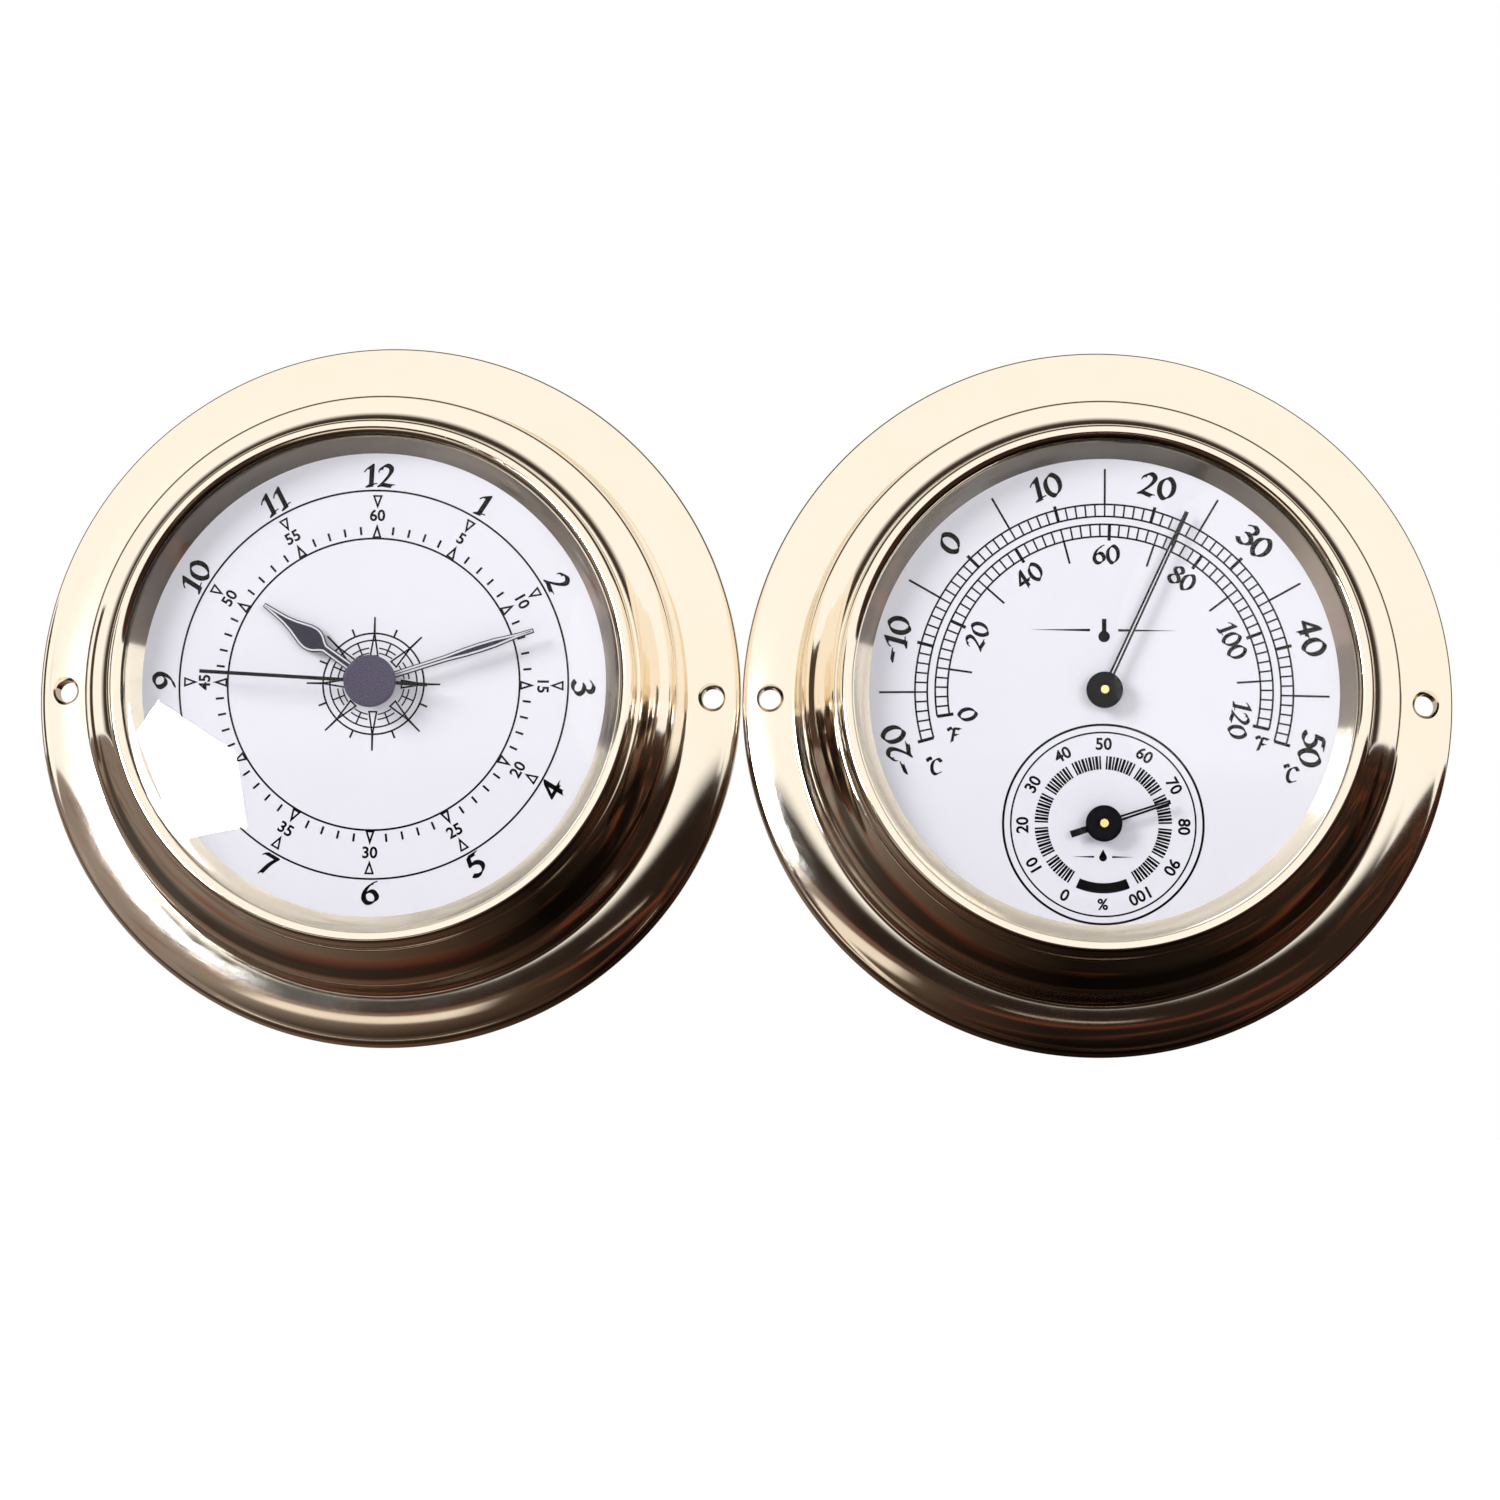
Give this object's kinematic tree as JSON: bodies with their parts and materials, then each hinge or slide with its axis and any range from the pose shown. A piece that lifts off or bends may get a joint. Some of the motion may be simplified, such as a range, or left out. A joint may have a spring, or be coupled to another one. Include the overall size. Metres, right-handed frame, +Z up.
{
  "type": "wall clock and thermometer hygrometer",
  "caption": "Two round brass ship's instruments side by side on a wall: a quartz clock, and a thermometer with a small hygrometer dial, under domed glass.",
  "frame": {"origin": "midway between the clock's two wall screw holes, on the wall", "axes": "+X to the viewer's right along the row of two instruments, +Z up, +Y into the wall; the dials face -Y"},
  "size_m": [0.2303, 0.028, 0.115],
  "materials": {
    "polished_brass": "polished and lacquered",
    "lens_glass": "clear domed glass",
    "black_rubber": "matte",
    "dial_enamel": "semi-gloss white print ground",
    "grey_plastic": "moulded",
    "cover_black": "fine textured black",
    "screw_steel": "zinc plated",
    "housing_black": "moulded",
    "foam": "adhesive foam",
    "battery_jacket": "plain printed jacket",
    "nickel": "nickel plated",
    "board_green": "solder mask",
    "chip_black": "potting resin",
    "crystal_can": "drawn can",
    "bobbin_natural": "moulded",
    "copper_wire": "enamelled wire",
    "core_steel": "stamped",
    "magnet": "sintered",
    "gear_plastic": "moulded acetal",
    "turned_brass": "turned",
    "spring_bronze": "rolled",
    "humidity_strip": "coated strip",
    "hand_slate": "dark slate lacquer",
    "pointer_black": "black lacquer",
    "bracket_aluminium": "bent strip"
  },
  "bodies": {
    "root": {"clock_case": "polished_brass", "clock_bezel": "polished_brass", "clock_inner_ring": "polished_brass", "weather_case": "polished_brass", "weather_bezel": "polished_brass", "weather_inner_ring": "polished_brass", "clock_lens": "lens_glass", "weather_lens": "lens_glass", "clock_lens_gasket": "black_rubber", "weather_lens_gasket": "black_rubber", "clock_dial": "dial_enamel", "weather_dial": "dial_enamel", "clock_spacer_ring": "grey_plastic", "weather_spacer_ring": "grey_plastic", "clock_back_cover": "cover_black", "weather_back_cover": "cover_black", "clock_cover_screws": "screw_steel", "weather_cover_screws": "screw_steel", "movement_front_housing": "housing_black", "movement_rear_cover": "housing_black", "movement_mid_plate": "housing_black", "movement_foam_pad": "foam", "aa_battery": "battery_jacket", "battery_positive_contact": "nickel", "battery_negative_contact": "nickel", "circuit_board": "board_green", "timing_chip": "chip_black", "quartz_crystal": "crystal_can", "coil_bobbin": "bobbin_natural", "coil_winding": "copper_wire", "motor_stator": "core_steel", "thermometer_bush": "turned_brass", "humidity_bush": "turned_brass", "thermometer_coil_stud": "turned_brass", "humidity_coil_stud": "turned_brass", "thermometer_coil": "spring_bronze", "humidity_coil": "humidity_strip", "thermometer_bracket": "bracket_aluminium", "humidity_bracket": "bracket_aluminium"},
    "second_train": {"second_wheel": "gear_plastic", "second_hand": "hand_slate", "second_hand_hub": "hand_slate"},
    "rotor": {"motor_rotor": "magnet"},
    "intermediate": {"intermediate_wheel": "gear_plastic"},
    "third": {"third_wheel": "gear_plastic"},
    "centre": {"centre_gear": "gear_plastic"},
    "minute_train": {"minute_cannon": "turned_brass", "minute_hand": "hand_slate", "clutch_washer": "spring_bronze"},
    "minute_wheel": {"minute_wheel": "gear_plastic"},
    "hour_train": {"hour_wheel": "gear_plastic", "hour_hand": "hand_slate"},
    "setting_knob": {"setting_knob": "gear_plastic"},
    "temperature_needle": {"thermometer_arbor": "turned_brass", "thermometer_pointer": "pointer_black", "thermometer_pointer_hub": "pointer_black"},
    "humidity_needle": {"humidity_arbor": "turned_brass", "humidity_pointer": "pointer_black", "humidity_pointer_hub": "pointer_black"}
  },
  "joints": [
    {"name": "second_hand_turn", "type": "hinge", "parent": "root", "child": "second_train", "pos_m": [0, 0, 0], "axis": [0, 1, 0], "continuous": true},
    {"name": "rotor_spin", "type": "hinge", "parent": "root", "child": "rotor", "pos_m": [-0.01659, 0, 0.00626], "axis": [0, 1, 0], "continuous": true},
    {"name": "intermediate_spin", "type": "hinge", "parent": "root", "child": "intermediate", "pos_m": [-0.00831, 0, 0.0048], "axis": [0, 1, 0], "continuous": true},
    {"name": "third_wheel_spin", "type": "hinge", "parent": "root", "child": "third", "pos_m": [0.00612, 0, 0.0106], "axis": [0, 1, 0], "continuous": true},
    {"name": "centre_gear_spin", "type": "hinge", "parent": "root", "child": "centre", "pos_m": [0, 0, 0], "axis": [0, 1, 0], "continuous": true},
    {"name": "minute_hand_turn", "type": "hinge", "parent": "root", "child": "minute_train", "pos_m": [0, 0, 0], "axis": [0, 1, 0], "continuous": true},
    {"name": "minute_wheel_spin", "type": "hinge", "parent": "root", "child": "minute_wheel", "pos_m": [0.01195, 0, 0.00105], "axis": [0, 1, 0], "continuous": true},
    {"name": "hour_hand_turn", "type": "hinge", "parent": "root", "child": "hour_train", "pos_m": [0, 0, 0], "axis": [0, 1, 0], "continuous": true},
    {"name": "setting_knob_turn", "type": "hinge", "parent": "root", "child": "setting_knob", "pos_m": [0.02063, 0, 0.01139], "axis": [0, 1, 0], "continuous": true},
    {"name": "thermometer_turn", "type": "hinge", "parent": "root", "child": "temperature_needle", "pos_m": [0.1153, 0, 0], "axis": [0, 1, 0], "range_deg": [-130.3, 81.7], "stiffness_Nm_per_rad": 0.0005, "deforming": ["thermometer_coil"]},
    {"name": "humidity_turn", "type": "hinge", "parent": "root", "child": "humidity_needle", "pos_m": [0.1153, 0, -0.0209], "axis": [0, 1, 0], "range_deg": [-223.2, 80.8], "stiffness_Nm_per_rad": 0.0002, "deforming": ["humidity_coil"]}
  ],
  "couplings": [
    {"joint": "rotor_spin", "follows": "second_hand_turn", "ratio": 30},
    {"joint": "intermediate_spin", "follows": "second_hand_turn", "ratio": -5},
    {"joint": "third_wheel_spin", "follows": "second_hand_turn", "ratio": -0.125},
    {"joint": "centre_gear_spin", "follows": "second_hand_turn", "ratio": 0.016667},
    {"joint": "minute_wheel_spin", "follows": "minute_hand_turn", "ratio": -0.33333},
    {"joint": "hour_hand_turn", "follows": "minute_hand_turn", "ratio": 0.083333},
    {"joint": "setting_knob_turn", "follows": "minute_hand_turn", "ratio": 0.66667}
  ]
}
